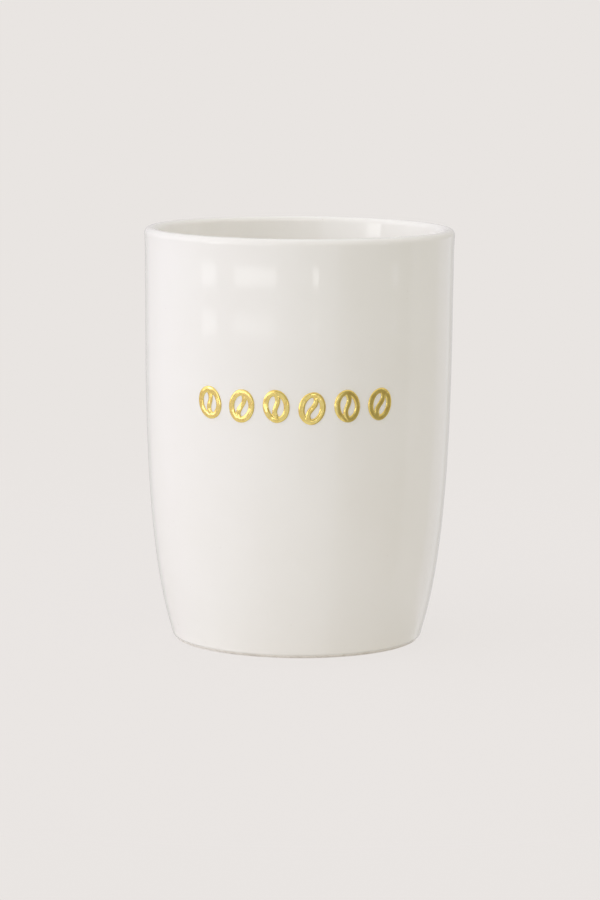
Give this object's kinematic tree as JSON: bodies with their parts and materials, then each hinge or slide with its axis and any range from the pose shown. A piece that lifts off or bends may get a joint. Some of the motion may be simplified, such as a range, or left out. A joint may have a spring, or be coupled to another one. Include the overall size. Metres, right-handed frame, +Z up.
{
  "type": "porcelain tumbler",
  "caption": "Handleless glazed porcelain coffee tumbler with a rounded lip, walls drawn in to a rounded heel, a bare standing ring and a row of raised gold coffee beans.",
  "frame": {"origin": "middle of the standing ring, on the surface the tumbler stands on", "axes": "+Z up along the axis the tumbler was thrown on; the row of gold beans faces -Y; +X to the right of someone who looks at the row"},
  "size_m": [0.08, 0.08, 0.1066],
  "materials": {
    "bisque": "bare fired porcelain, matt, fine grained",
    "glaze": "clear gloss over warm white porcelain",
    "gold_lustre": "bright fired gold lustre on a raised line"
  },
  "bodies": {
    "root": {"porcelain_body": "bisque", "glaze_coat": "glaze", "base_glaze": "glaze", "gold_bean_1": "gold_lustre", "gold_bean_2": "gold_lustre", "gold_bean_3": "gold_lustre", "gold_bean_4": "gold_lustre", "gold_bean_5": "gold_lustre", "gold_bean_6": "gold_lustre"}
  },
  "joints": []
}
